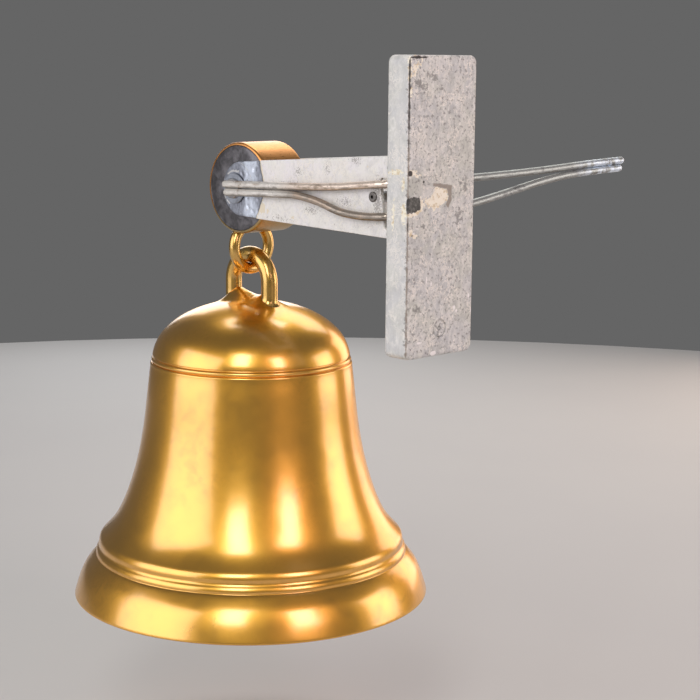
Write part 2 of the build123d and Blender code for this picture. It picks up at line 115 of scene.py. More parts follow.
def arc_through(a, b, c, count=8):
    """Circular arc from a through b to c in a plane."""
    (ax, ay), (bx, by), (cx, cy) = a, b, c
    d = 2 * (ax * (by - cy) + bx * (cy - ay) + cx * (ay - by))
    ux = ((ax**2 + ay**2) * (by - cy) + (bx**2 + by**2) * (cy - ay) + (cx**2 + cy**2) * (ay - by)) / d
    uy = ((ax**2 + ay**2) * (cx - bx) + (bx**2 + by**2) * (ax - cx) + (cx**2 + cy**2) * (bx - ax)) / d
    r = hypot(ax - ux, ay - uy)
    a0, a1, a2 = (atan2(y - uy, x - ux) for x, y in (a, b, c))
    turn1, turn2 = (a1 - a0) % TAU, (a2 - a0) % TAU
    if turn1 > turn2:
        turn2 -= TAU
    return np.array([(ux + r * cos(a0 + turn2 * k / count), uy + r * sin(a0 + turn2 * k / count))
                     for k in range(count + 1)])


def join_runs(*runs):
    """One polyline from several, without repeated points."""
    out = [np.array(runs[0][0], float)]
    for run in runs:
        for p in np.array(run, float):
            if np.linalg.norm(p - out[-1]) > 1e-4:
                out.append(p)
    return np.array(out)


def fillet_corner(points, radius, count=5):
    """A closed 2-D outline with every corner rounded by a list of radii (0 leaves it sharp)."""
    out, n = [], len(points)
    for i in range(n):
        p0, p, p1 = (np.array(points[(i + k) % n], float) for k in (-1, 0, 1))
        r = radius[i]
        if r <= 0:
            out.append(p)
            continue
        u, v = (p0 - p) / np.linalg.norm(p0 - p), (p1 - p) / np.linalg.norm(p1 - p)
        half = acos(np.clip(u @ v, -1, 1)) / 2
        d, c = r / tan(half), p + (u + v) / np.linalg.norm(u + v) * r / sin(half)
        s, e = p + u * d - c, p + v * d - c
        a0, a1 = atan2(s[1], s[0]), atan2(e[1], e[0])
        turn = (a1 - a0 + pi) % TAU - pi
        out += [c + r * np.array((cos(a0 + turn * k / count), sin(a0 + turn * k / count)))
                for k in range(count + 1)]
    return np.array(out)


def resample_closed(points, step):
    """The closed outline again, with points at most `step` apart and the old ones kept."""
    out = []
    for p, q in zip(points, np.roll(points, -1, axis=0)):
        k = max(1, int(ceil(np.linalg.norm(q - p) / step)))
        out += [p + (q - p) * j / k for j in range(k)]
    return np.array(out)


# ---- mesh builders ----
def link_new(name, data):
    ob = bpy.data.objects.new(name, data)
    bpy.context.scene.collection.objects.link(ob)
    return ob


def make_object(name, mat, verts, faces, body, replaced=(), sharp_deg=35.0, fields=None):
    """Mesh object from millimetre vertices, riding on a body and standing for CAD nodes."""
    me = bpy.data.meshes.new(name)
    me.materials.append(mat)
    me.from_pydata((np.array(verts, float) * MM).tolist(), [], [list(map(int, f)) for f in faces])
    me.validate()
    bm = bmesh.new()
    bm.from_mesh(me)
    bmesh.ops.recalc_face_normals(bm, faces=bm.faces)
    bm.to_mesh(me)
    bm.free()
    me.shade_smooth()
    me.set_sharp_from_angle(angle=radians(sharp_deg))
    for key, values in (fields or {}).items():
        me.attributes.new(key, "FLOAT", "POINT").data.foreach_set("value", np.asarray(values, np.float32))
    ob = link_new(name, me)
    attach(ob, body)
    if replaced:
        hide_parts(*replaced)
    return ob


def grid_faces(rows, columns, closed=False):
    """Quads between rows of points, where each row closes on itself."""
    faces = []
    for i in range(rows if closed else rows - 1):
        a, b = i * columns, (i + 1) % rows * columns
        faces += [(a + c, a + d, b + d, b + c) for c in range(columns) for d in ((c + 1) % columns,)]
    return faces


def lathe(profile, segments, axis="Z", closed=True):
    """Vertices and faces of a profile of (radius, height) turned about an axis through the origin."""
    ang = np.arange(segments) * TAU / segments
    verts = []
    for r, h in profile:
        c, s, level = r * np.cos(ang), r * np.sin(ang), np.full(segments, h)
        verts.append(np.column_stack({"Z": (c, s, level), "X": (level, c, s), "Y": (c, level, s)}[axis]))
    return np.concatenate(verts), grid_faces(len(profile), segments, closed)


def merge(*parts):
    """Several (verts, faces) as one."""
    verts, faces, n = [], [], 0
    for v, f in parts:
        verts.append(np.asarray(v, float))
        faces += [tuple(i + n for i in face) for face in f]
        n += len(v)
    return np.concatenate(verts), faces


def tube(path, radius, wobble, seed, segments=28, cap_rows=7):
    """Round bar along a dense path, with ball ends and slightly uneven hand-bent surface."""
    p = np.asarray(path, float)
    tangent = np.gradient(p, axis=0)
    tangent /= np.linalg.norm(tangent, axis=1)[:, None]
    normal = np.cross(tangent[0], (0, 0, 1.0))
    frames = []
    for t in tangent:
        normal = normal - t * (normal @ t)
        normal /= np.linalg.norm(normal)
        frames.append((normal, np.cross(t, normal)))
    ang = np.arange(segments) * TAU / segments
    bend = pi / 2 * np.arange(1, cap_rows) / cap_rows
    stations = [(p[0] - tangent[0] * radius * sin(a), frames[0], radius * cos(a)) for a in bend[::-1]]
    stations += [(c, f, radius) for c, f in zip(p, frames)]
    stations += [(p[-1] + tangent[-1] * radius * sin(a), frames[-1], radius * cos(a)) for a in bend]
    verts = np.concatenate([c + r * (np.outer(np.cos(ang), u) + np.outer(np.sin(ang), w))
                            for c, (u, w), r in stations])
    away = verts - np.repeat([c for c, _, _ in stations], segments, axis=0)
    verts = verts - away * (wobble / radius) * (0.5 + 0.5 * fbm(verts, 14.0, 3, seed))[:, None]
    tips = np.array([p[0] - tangent[0] * radius, p[-1] + tangent[-1] * radius])
    n, base = len(verts), len(verts) - segments
    faces = grid_faces(len(stations), segments)
    faces += [(n, (j + 1) % segments, j) for j in range(segments)]
    faces += [(n + 1, base + j, base + (j + 1) % segments) for j in range(segments)]
    return np.concatenate([verts, tips]), faces


def inside_polygon(points, polygon):
    x, y = points[:, 0], points[:, 1]
    inside = np.zeros(len(points), bool)
    for (x0, y0), (x1, y1) in zip(polygon, np.roll(polygon, -1, axis=0)):
        crosses = (y0 > y) != (y1 > y)
        with np.errstate(divide="ignore", invalid="ignore"):
            inside ^= crosses & (x < (x1 - x0) * (y - y0) / (y1 - y0) + x0)
    return inside


def distance_to_polygon(points, polygon):
    """Signed distance, positive inside."""
    best = np.full(len(points), 1e9)
    for a, b in zip(polygon, np.roll(polygon, -1, axis=0)):
        ab = b - a
        t = np.clip(((points - a) @ ab) / max(ab @ ab, 1e-12), 0, 1)
        best = np.minimum(best, np.linalg.norm(points - (a + t[:, None] * ab), axis=1))
    return np.where(inside_polygon(points, polygon), best, -best)


def slab(outline, low, high, edge_r, step, holes=()):
    """A plate from a closed counter-clockwise outline, with rounded edges and an even fine mesh.

    Returns vertices (u, v, w), outward normals and faces. The faces' middles are triangles on a grid."""
    ring = resample_closed(outline, step)
    out = (np.roll(ring, -1, axis=0) - np.roll(ring, 1, axis=0))[:, ::-1] * (1, -1)
    out /= np.linalg.norm(out, axis=1)[:, None]
    n = len(ring)
    bend = np.linspace(0, pi / 2, 5)[:-1]
    side = np.linspace(high - edge_r, low + edge_r, max(2, int((high - low - 2 * edge_r) / step) + 1))
    section = [(1 - sin(a), high - edge_r * (1 - cos(a)), sin(a), cos(a)) for a in bend]
    section += [(0, w, 1.0, 0.0) for w in side]
    section += [(1 - sin(a), low + edge_r * (1 - cos(a)), sin(a), -cos(a)) for a in bend[::-1]]
    rows = [(ring - out * edge_r * inset, w) for inset, w, _, _ in section]
    verts = np.concatenate([np.column_stack([uv, np.full(n, w)]) for uv, w in rows])
    norms = np.concatenate([np.column_stack([out * s, np.full(n, c)]) for _, _, s, c in section])
    faces = grid_faces(len(rows), n)
    inner = rows[0][0]
    lo, hi = inner.min(0), inner.max(0)
    us, vs = np.arange(lo[0], hi[0], step), np.arange(lo[1], hi[1], step * 0.87)
    grid = np.array([(u + (0.5 * step if k % 2 else 0), v) for k, v in enumerate(vs) for u in us])
    keep = distance_to_polygon(grid, inner) > 0.55 * step
    for h in holes:
        keep &= distance_to_polygon(grid, h) < -0.55 * step
    pts, edges = [], []
    for loop in (inner, *holes):
        k = len(pts)
        pts += [Vector(p) for p in loop]
        edges += [(k + i, k + (i + 1) % len(loop)) for i in range(len(loop))]
    pts += [Vector(p) for p in grid[keep]]
    vout, _, fout, vorig, _, _ = delaunay_2d_cdt(pts, edges, [], 0, 1e-6)
    source = [o[0] if o else -1 for o in vorig]
    tri = np.array([f for f in fout if len(f) == 3])
    co = np.array([tuple(v) for v in vout])
    mid = co[tri].mean(axis=1)
    ok = inside_polygon(mid, inner)
    for h in holes:
        ok &= ~inside_polygon(mid, h)
    tri = tri[ok]
    count = len(verts)
    extra_v, extra_n, index = [], [], {}
    for level, w, nz, first_row in ((0, high, 1.0, 0), (1, low, -1.0, (len(rows) - 1) * n)):
        for i in sorted(set(tri.ravel().tolist())):
            s = source[i]
            if 0 <= s < n:
                index[level, i] = first_row + s
            else:
                index[level, i] = count + len(extra_v)
                extra_v.append((co[i][0], co[i][1], w))
                extra_n.append((0, 0, nz))
        for f in tri:
            ids = tuple(index[level, i] for i in f.tolist())
            faces.append(ids if level == 0 else ids[::-1])
    back = {s: i for i, s in enumerate(source) if s >= 0}
    for a, b in edges[n:]:
        a, b = back[a], back[b]
        faces.append((index[0, a], index[0, b], index[1, b], index[1, a]))
    verts = np.concatenate([verts, np.array(extra_v).reshape(-1, 3)])
    norms = np.concatenate([norms, np.array(extra_n).reshape(-1, 3)])
    return verts, norms, faces


def circle_loop(u, v, r, count=40):
    a = np.arange(count) * TAU / count
    return np.column_stack([u + r * np.cos(a), v + r * np.sin(a)])


# ---- material kit ----
class Nodes:
    """Short names for the shader nodes used below."""

    def __init__(self, name):
        self.mat = bpy.data.materials.new(name)
        self.mat.use_nodes = True
        self.tree = self.mat.node_tree
        self.tree.nodes.clear()
        self.bsdf = self.node("BsdfPrincipled", {})
        self.node("OutputMaterial", {0: self.bsdf.outputs[0]})
        self.place = self.node("TexCoord", {}).outputs["Object"]

    def put(self, socket, value):
        if isinstance(value, bpy.types.NodeSocket):
            self.tree.links.new(value, socket)
        elif socket.type == "RGBA" and len(value) == 3:
            socket.default_value = (*value, 1.0)
        else:
            socket.default_value = value

    def node(self, kind, values, **settings):
        """A new shader node with its settings made and its inputs, by name or index, filled in."""
        n = self.tree.nodes.new("ShaderNode" + kind)
        for key, v in settings.items():
            setattr(n, key, v)
        for key, v in values.items():
            self.put(n.inputs[key], v)
        return n

    def noise(self, size_mm, detail=4.0, rough=0.55, stretch=None, distort=0.0, seed=0.0):
        place = self.place
        if stretch:
            place = self.node("VectorMath", {0: place, 1: stretch}, operation="MULTIPLY").outputs[0]
        values = {"Vector": place, "W": seed, "Scale": 1000.0 / size_mm, "Detail": detail, "Roughness": rough,
                  "Distortion": distort}
        return self.node("TexNoise", values, noise_dimensions="4D").outputs["Fac"]

    def cells(self, size_mm):
        values = {"Vector": self.place, "Scale": 1000.0 / size_mm, "Randomness": 1.0}
        return self.node("TexVoronoi", values, feature="F1").outputs["Distance"]

    def math(self, op, a, b=0.0):
        return self.node("Math", {0: a, 1: b}, operation=op).outputs[0]

    def times(self, a, b):
        return self.math("MULTIPLY", a, b)

    def plus(self, a, b):
        return self.math("ADD", a, b)

    def minus(self, a, b):
        return self.math("SUBTRACT", a, b)

    def step(self, value, low, high):
        """0 at low, 1 at high, smooth between."""
        values = {"Value": value, "From Min": low, "From Max": high}
        return self.node("MapRange", values, interpolation_type="SMOOTHSTEP").outputs[0]

    def scale(self, value, out_low, out_high, low=0.3, high=0.7):
        values = {"Value": value, "From Min": low, "From Max": high, "To Min": out_low, "To Max": out_high}
        return self.node("MapRange", values).outputs[0]

    def mix(self, fac, a, b):
        return self.node("Mix", {0: fac, 6: a, 7: b}, data_type="RGBA").outputs[2]

    def over(self, color, mask, strength, top):
        """A colour laid over another where the mask is, at a strength."""
        return self.mix(self.times(mask, strength), color, top)

    def blend(self, fac, a, b):
        """Mix of two numbers."""
        return self.node("Mix", {0: fac, 2: a, 3: b}, data_type="FLOAT").outputs[0]

    def field(self, name):
        return self.node("Attribute", {}, attribute_name=name).outputs["Fac"]

    def axis(self, which, source=None):
        n = self.node("SeparateXYZ", {0: self.place if source is None else source})
        return n.outputs["XYZ".index(which)]

    def bump(self, height, depth_mm, strength=1.0, under=None):
        values = {"Strength": strength, "Distance": depth_mm * MM, "Height": height}
        if under is not None:
            values["Normal"] = under
        return self.node("Bump", values).outputs[0]

    def finish(self, color, metallic, roughness, normal=None, **extra):
        values = {"Base Color": color, "Metallic": metallic, "Roughness": roughness, **extra}
        if normal is not None:
            values["Normal"] = normal
        for key, v in values.items():
            self.put(self.bsdf.inputs[key], v)
        return self.mat


def gold_material(name, base, deep, rough, pit_depth, seed):
    m = Nodes(name)
    broad = m.noise(70, 4, 0.55, seed=seed)
    mottled = m.noise(16, 5, 0.6, distort=0.6, seed=seed + 1)
    fine = m.noise(1.6, 3, 0.6, seed=seed + 2)
    pits = m.step(m.cells(4.0), 0.05, 0.24)
    where = m.step(m.noise(34, 3, 0.5, seed=seed + 3), 0.52, 0.66)
    tarnish = m.times(m.step(mottled, 0.42, 0.75), m.step(broad, 0.35, 0.7))
    color = m.mix(tarnish, base, deep)
    color = m.over(color, m.step(fine, 0.6, 0.75), 0.12, deep)
    r = m.scale(broad, rough - 0.035, rough + 0.05)
    r = m.plus(r, m.scale(mottled, -0.02, 0.05))
    pit_here = m.blend(where, 1.0, pits)
    height = m.plus(pit_here, m.times(fine, 0.35))
    wavy = m.bump(m.noise(9, 3, 0.5, seed=seed + 5), 0.10, 0.55)
    return m.finish(color, 1.0, r, m.bump(height, pit_depth, 0.4, wavy), **{
        "Specular Tint": (1.0, 0.78, 0.42, 1.0), "Coat Weight": 1.0, "Coat Roughness": 0.19, "Coat IOR": 2.0})


def metal_material(name, base, dark, rough, grain, size, stain, seed, depth=0.04, under=None):
    m = Nodes(name)
    spread = m.noise(22, 4, 0.6, distort=0.4, seed=seed)
    lines = m.noise(size, 4, 0.65, stretch=grain, seed=seed + 1)
    color = m.mix(m.times(m.step(spread, 0.4, 0.7), stain), base, dark)
    color = m.over(color, m.step(lines, 0.5, 0.72), 0.35, dark)
    # Below the hub the colour turns to the under colour: painted shade on the underside.
    if under is not None:
        color = m.mix(m.step(m.axis("Z"), (HUB_Z - 8) * MM, (HUB_Z - 34) * MM), color, under)
    r = m.scale(lines, rough - 0.06, rough + 0.10)
    return m.finish(color, 1.0, r, m.bump(lines, depth, 0.5))


def disc_material():
    """Turned dark steel: rings about the hub axis under a mottled dull skin."""
    m = Nodes("turned_dark_steel")
    y = m.minus(m.axis("Y"), HUB_Y * MM)
    z = m.minus(m.axis("Z"), HUB_Z * MM)
    radius = m.math("SQRT", m.plus(m.times(y, y), m.times(z, z)))
    values = {"Scale": 900.0, "Detail": 4.0, "W": radius}
    rings = m.node("TexNoise", values, noise_dimensions="1D").outputs["Fac"]
    mott = m.noise(9, 5, 0.62, distort=0.8, seed=3.1)
    fine = m.noise(1.3, 3, 0.6, seed=4.2)
    color = m.mix(m.step(mott, 0.35, 0.7), (0.085, 0.083, 0.088), (0.21, 0.205, 0.22))
    color = m.over(color, m.step(fine, 0.55, 0.75), 0.5, (0.11, 0.105, 0.10))
    r = m.scale(mott, 0.5, 0.36)
    height = m.plus(m.times(rings, 0.5), m.times(fine, 0.6))
    return m.finish(color, 0.85, r, m.bump(height, 0.08, 0.6))


def rod_material(name, seed, worn):
    """Worn nickel: creamy near the hub, browner away from it, grey behind the wall plate, with painted shade
    below.
    """
    m = Nodes(name)
    patches = m.noise(15, 5, 0.62, stretch=(0.6, 0.6, 1.4), distort=0.7, seed=seed)
    fine = m.noise(1.8, 4, 0.65, seed=seed + 1)
    x = m.axis("X")
    away = m.step(m.axis("Y"), ROD_TURNS_BROWN[0] * MM, ROD_TURNS_BROWN[1] * MM)
    behind = m.step(x, ROD_TURNS_GREY[0] * MM, ROD_TURNS_GREY[1] * MM)
    rubbed = m.mix(away, (1.0, 0.97, 0.91), worn)
    rubbed = m.mix(behind, rubbed, (0.42, 0.455, 0.44))
    dull = m.mix(behind, (0.46, 0.37, 0.29), (0.22, 0.23, 0.23))
    color = m.mix(m.step(patches, 0.50, 0.64), rubbed, dull)
    color = m.over(color, m.step(fine, 0.56, 0.68), 0.6, (0.13, 0.11, 0.10))
    # Darker where the surface faces down: painted shade on the rods' undersides.
    facing_up = m.axis("Z", m.node("TexCoord", {}).outputs["Normal"])
    underside_shade = m.plus(facing_up, m.scale(patches, -0.5, 0.5))
    color = m.over(color, m.step(underside_shade, -0.25, -0.75), 0.70, (0.10, 0.085, 0.07))
    end = m.step(x, ROD_END[0] * MM, ROD_END[1] * MM)
    color = m.over(color, end, m.step(m.noise(10, 4, 0.6, seed=9.0), 0.42, 0.56), (0.66, 0.76, 0.86))
    r = m.plus(m.scale(patches, 0.13, 0.26), m.times(behind, 0.16))
    dents = m.noise(6, 3, 0.55, distort=0.4, seed=9.5)
    return m.finish(color, 0.50, r, m.bump(fine, 0.10, 0.6, m.bump(dents, 0.7, 0.55)))


def contour(m, size, width, seed):
    """Thin wandering lines: where a noise passes through its middle value."""
    n = m.noise(size, 6, 0.68, distort=0.7, seed=seed)
    return m.step(m.math("ABSOLUTE", m.minus(n, 0.5)), width, width * 0.3)


def paint_layers(m, seed, pale=(0.585, 0.605, 0.60), warm=(0.60, 0.62, 0.56), grey=(0.43, 0.44, 0.43),
                 wear=1.0):
    """Weathered off-white paint: (colour, roughness, height) before chips are cut through it."""
    cloud = m.noise(36, 4, 0.55, distort=0.5, seed=seed)
    mottle = m.noise(8, 8, 0.74, stretch=(1.3, 1.3, 0.75), distort=0.9, seed=seed + 1)
    where = m.step(m.noise(20, 4, 0.6, seed=seed + 5), 0.42, 0.60)
    grit = m.noise(2.6, 5, 0.75, distort=0.5, seed=seed + 3)
    patch = m.noise(15, 5, 0.62, stretch=(1.2, 1.2, 0.8), distort=0.8, seed=seed + 8)
    color = m.mix(m.step(cloud, 0.40, 0.60), pale, warm)
    flake = m.times(contour(m, 8, 0.034, seed + 2), where)
    seam = m.times(contour(m, 12, 0.020, seed + 6), where)
    for mask, strength, top in (
            (m.step(patch, 0.46, 0.60), 0.45 * wear, (0.80, 0.80, 0.755)),
            (m.step(patch, 0.48, 0.36), 0.40 * wear, grey),
            (m.step(mottle, 0.48, 0.68), 0.60 * wear, grey),
            (m.step(mottle, 0.49, 0.36), 0.85 * wear, (0.84, 0.84, 0.80)),
            (flake, 0.85 * wear, (0.95, 0.92, 0.84)),
            (seam, 0.18 * wear, (0.27, 0.255, 0.235)),
            (m.step(grit, 0.66, 0.71), 0.60, (0.18, 0.165, 0.15)),
            (m.step(grit, 0.40, 0.34), 0.80, (0.96, 0.94, 0.88))):
        color = m.over(color, mask, strength, top)
    r = m.scale(mottle, 0.40, 0.62)
    height = m.plus(m.times(mottle, -0.7), m.times(grit, -0.5))
    height = m.plus(height, m.times(flake, 0.35))
    return color, r, height


def edged(m, key, fuzz, size, seed, low=-0.25, high=0.25):
    """Sharp ragged mask from a mesh field in millimetres."""
    ragged = m.plus(m.field(key), m.scale(m.noise(size, 4, 0.65, seed=seed), -fuzz, fuzz, 0.25, 0.75))
    return m.step(ragged, low, high)


def plate_material():
    m = Nodes("weathered_paint_plate")
    color, r, height = paint_layers(m, 20.0)
    # The narrow face on the lever's side is painted lighter: a painted highlight.
    painted_lit_side = m.step(m.axis("X"), (PLATE_HALF_W - 1.6) * MM, (PLATE_HALF_W - 0.4) * MM)
    color = m.over(color, painted_lit_side, 0.30, (0.78, 0.78, 0.80))
    aged, rusty = m.noise(4, 4, 0.6, seed=35.0), m.noise(3.2, 4, 0.7, seed=37.0)
    creamy = m.mix(m.step(aged, 0.50, 0.62), (0.97, 0.93, 0.78), (0.72, 0.62, 0.42))
    steel = m.mix(m.step(rusty, 0.4, 0.62), (0.065, 0.065, 0.062), (0.17, 0.17, 0.16))
    masks = {}
    for key, fuzz, size, seed, low, high, strength, top in (
            ("scuff", 3.0, 6, 31.0, -1.0, 2.5, 0.6, (0.50, 0.52, 0.47)),
            ("grime", 5.5, 3.2, 32.0, -0.4, 1.6, 0.75, (0.20, 0.20, 0.19)),
            ("shade", 0.8, 4, 33.0, -0.5, 0.5, 0.90, (0.30, 0.265, 0.22)),
            ("cream", 1.9, 2.6, 34.0, -0.25, 0.25, 1.0, creamy),
            ("bare", 1.5, 3.0, 36.0, -0.25, 0.25, 1.0, steel),
            ("crack", 0.7, 5, 38.0, -0.25, 0.35, 1.0, (0.065, 0.06, 0.055)),
            ("white", 0.6, 3, 39.0, -0.25, 0.25, 1.0, (0.93, 0.92, 0.90)),
            ("ring", 0.5, 3, 40.0, -0.4, 0.5, 0.8, (0.16, 0.165, 0.155))):
        masks[key] = edged(m, key, fuzz, size, seed, low, high)
        color = m.over(color, masks[key], strength, top)
    bare = masks["bare"]
    cut = m.math("MAXIMUM", masks["cream"], m.math("MAXIMUM", bare, masks["crack"]))
    height = m.minus(height, m.times(cut, 0.6))
    r = m.blend(bare, r, 0.42)
    return m.finish(color, m.times(bare, 0.6), r, m.bump(height, 0.16, 0.6))


def cheek_material():
    """Painted plate whose round end is rubbed down to bright steel."""
    m = Nodes("painted_cheek")
    color, r, height = paint_layers(m, 50.0, (0.90, 0.88, 0.90), (0.90, 0.89, 0.86), (0.60, 0.595, 0.60), 0.9)
    grime = edged(m, "grime", 6.5, 1.5, 51.0, 0.6, 1.6)
    color = m.over(color, grime, 0.62, (0.24, 0.22, 0.20))
    nick = m.step(m.noise(4.0, 4, 0.6, stretch=(1.0, 1.6, 0.7), distort=0.6, seed=58.0), 0.655, 0.70)
    color = m.over(color, nick, 0.55, (0.34, 0.31, 0.29))
    cream = edged(m, "cream", 1.5, 3, 52.0, -0.3, 0.5)
    color = m.over(color, cream, 0.9, (0.82, 0.74, 0.57))
    bare = edged(m, "bare", 1.1, 4, 53.0)
    rub = m.noise(5, 4, 0.6, stretch=(1.0, 2.2, 0.5), seed=54.0)
    # A bright bluish streak across the bare steel end: a painted reflection.
    painted_glint_band = m.plus(m.axis("Y"), m.scale(m.noise(14, 4, 0.6, seed=57.0), -0.005, 0.005))
    painted_glint_band = m.times(m.step(painted_glint_band, -0.227, -0.221), m.step(painted_glint_band, -0.204, -0.211))
    steel = m.mix(m.times(m.step(rub, 0.42, 0.62), 0.6), (0.40, 0.43, 0.50), (0.17, 0.18, 0.21))
    steel = m.over(steel, painted_glint_band, 0.85, (0.80, 0.88, 1.0))
    steel = m.over(steel, m.step(m.noise(1.6, 3, 0.6, seed=55.0), 0.58, 0.72), 0.6, (0.09, 0.09, 0.10))
    worn = edged(m, "worn", 1.2, 2.5, 56.0, -0.2, 0.4)
    steel = m.over(steel, worn, 0.85, (0.74, 0.74, 0.72))
    color = m.mix(bare, color, steel)
    r = m.blend(bare, r, m.scale(rub, 0.27, 0.42))
    cut = m.minus(height, m.times(bare, 0.9))
    return m.finish(color, m.times(bare, 0.95), r, m.bump(cut, 0.22, 0.7))


def forged_material():
    m = Nodes("forged_iron")
    scale_ = m.noise(7, 5, 0.65, distort=0.6, seed=60.0)
    fine = m.noise(1.4, 3, 0.6, seed=61.0)
    color = m.mix(m.step(scale_, 0.4, 0.66), (0.055, 0.052, 0.05), (0.125, 0.105, 0.09))
    color = m.over(color, m.step(fine, 0.58, 0.7), 0.6, (0.20, 0.12, 0.07))
    height = m.plus(scale_, m.times(fine, 0.3))
    return m.finish(color, 0.8, m.scale(scale_, 0.42, 0.66), m.bump(height, 0.5, 0.7))


GOLD = gold_material("satin_gold_bronze", (0.88, 0.445, 0.028), (0.62, 0.30, 0.014), 0.31, 0.05, 1.0)
GOLD_LOOP = gold_material("polished_gold_bronze", (0.68, 0.385, 0.035), (0.42, 0.235, 0.018), 0.25, 0.05, 5.0)
# The brass turns darker below the hub: painted shade on the barrel's underside.
BRASS = metal_material("warm_brass", (0.86, 0.40, 0.13), (0.68, 0.30, 0.09), 0.30, (0.4, 3, 3), 3.0, 0.45,
                       11.0, under=(0.42, 0.31, 0.15))
DISC = disc_material()
NICKEL = {"upper": rod_material("worn_nickel_upper", 7.0, (0.97, 0.83, 0.71)),
          "lower": rod_material("worn_nickel_lower", 8.6, (0.36, 0.315, 0.265))}
PLATE_PAINT = plate_material()
CHEEK_PAINT = cheek_material()
STEEL, WASHER, BRONZE, OILED = (metal_material(name, base, dark, rough, (1, 1, 1), *rest)
                                for name, base, dark, rough, *rest in (
    ("satin_steel", (0.50, 0.50, 0.51), (0.20, 0.19, 0.18), 0.34, 2.0, 0.6, 12.0, 0.05),
    ("worn_washer_steel", (0.46, 0.50, 0.57), (0.16, 0.17, 0.19), 0.34, 1.6, 0.8, 13.0, 0.08),
    ("bush_bronze", (0.62, 0.38, 0.14), (0.28, 0.16, 0.06), 0.36, 2.0, 0.5, 14.0, 0.03),
    ("oiled_dark_steel", (0.17, 0.16, 0.15), (0.06, 0.055, 0.05), 0.30, 1.6, 0.7, 15.0, 0.05)))
IRON = forged_material()


def paint(ob, mat):
    ob.data.materials.clear()
    ob.data.materials.append(mat)


def finish_node(name, mat):
    """Give a CAD node that is kept a better finish."""
    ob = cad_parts[name]
    if not ob.data.materials:
        ob.data.materials.append(mat)
    for i in range(len(ob.data.materials)):
        ob.data.materials[i] = mat


# ---- bell ----
# A profile is its first points and then a chain of runs, each from the end of the one before:
# arcs are (through, end) and curves are (points, first tangent, last tangent).
OUTER_RUNS = (
    [(166.5, 0), (174.2, 0)], [(175.1, 0.4), (175.4, 1.3)],
    ([(172.8, 10), (169.2, 20), (164.5, 29), (160.0, 34.8), (154.8, 40.4)], (-0.28, 1), (-1.1, 1)),
    [(154.2, 41.0), (154.2, 41.8)], [(153.9, 44.5), (152.6, 47)],
    [(151.05, 49.4), (151, 52.2)], [(150.5, 55.9), (148.8, 59.2)],
    ([(136.6, 73), (125.2, 95), (113.8, 130), (105.2, 175), (100, 220), (98.9, 229.6)], (-1, 1), (-0.08, 1)),
    [(98.4, 231.2), (96.9, 231.8)], [(97.9, 234), (96.6, 236.2)], [(95.5, 237.3), (96.7, 238.4)],
    ([(95.6, 243.6), (90.4, 255), (78.5, 268), (56.0, 281), (28.0, 288.8), (0, 291)], (-0.1, 1), (-1, 0)),
)
INNER_RUNS = (
    [(0.01, 270), (22, 270), (27, 274.5)],
    ([(50, 270.5), (72, 259.5), (86, 240), (91, 215)], (1, -0.1), (0.12, -1)),
    ([(97.4, 170), (106.4, 125), (119.5, 85), (133.5, 56), (144.5, 28), (153, 12), (166.5, 0)],
     (0.12, -1), (1, -0.45)),
)


def profile_from(runs, step):
    done, at = [runs[0]], runs[0][-1]
    for run in runs[1:]:
        if len(run) == 2:
            done.append(arc_through(at, *run, count=6))
            at = run[-1]
        else:
            points, first, last = run
            done.append(curve_through([at, *points], step, first, last))
            at = points[-1]
    return join_runs(*done)


def crown_loop(dome):
    """Arch and legs of the cast loop, with feet that flare tangent into the dome (bell coordinates)."""
    ang = np.arange(48) * TAU / 48
    dome_r, dome_h = dome[::-1, 0], dome[::-1, 1]
    s = np.linspace(LOOP_R, LOOP_R + 30, 241)
    feet = []
    for a in ang:
        x, y = s * cos(a), LOOP_MAJOR + s * sin(a)
        line = np.column_stack([s, np.interp(np.hypot(x, y), dome_r, dome_h)])
        low, high = 255.0, 330.0
        for _ in range(40):
            mid = (low + high) / 2
            gap = np.min(np.hypot(line[:, 0] - LOOP_R - FOOT_FILLET, line[:, 1] - mid))
            low, high = (mid, high) if gap < FOOT_FILLET else (low, mid)
        c = np.array((LOOP_R + FOOT_FILLET, high))
        t = line[np.argmin(np.hypot(line[:, 0] - c[0], line[:, 1] - c[1]))] - c
        feet.append((c, atan2(t[1], t[0])))
    rows, fillet_rows = [], 10
    for k in range(fillet_rows + 1):
        ring = []
        for a, (c, end) in zip(ang, feet):
            end = end - TAU if end > 0 else end
            b = end + (-pi - end) * k / fillet_rows
            dip = 0.25 * (1 - k / fillet_rows)
            r, h = c[0] + FOOT_FILLET * cos(b), c[1] + FOOT_FILLET * sin(b) - dip
            ring.append((r * cos(a), r * sin(a), h))
        rows.append(np.array(ring))
    rows += [rows[-1] * (1, 1, 1 - k / 4) + (0, 0, ARCH_H * k / 4) for k in range(1, 4)]
    verts = [r + (0, LOOP_MAJOR, 0) for r in rows]
    for f in np.arange(41) * pi / 40:
        c = np.array((0, LOOP_MAJOR * cos(f), ARCH_H + LOOP_MAJOR * sin(f)))
        verts.append(c + LOOP_R * np.array([(cos(a), sin(a) * cos(f), sin(a) * sin(f)) for a in ang]))
    verts += [r * (1, -1, 1) + (0, -LOOP_MAJOR, 0) for r in rows[::-1]]
    return np.concatenate(verts), grid_faces(len(verts), len(ang))


def saddle_lift(p):
    """Height added to the dome by the web cast between the loop's feet (bell coordinates)."""
    along, ridge = np.array(SADDLE).T
    y = p[:, 1]
    off_end = np.maximum(np.abs(y) - LOOP_MAJOR, 0)
    d = np.hypot(p[:, 0], off_end)
    flank = np.clip(1 - d / SADDLE_HALF_W, 0, 1)
    return np.interp(y, along, ridge) * flank * flank * (3 - 2 * flank)


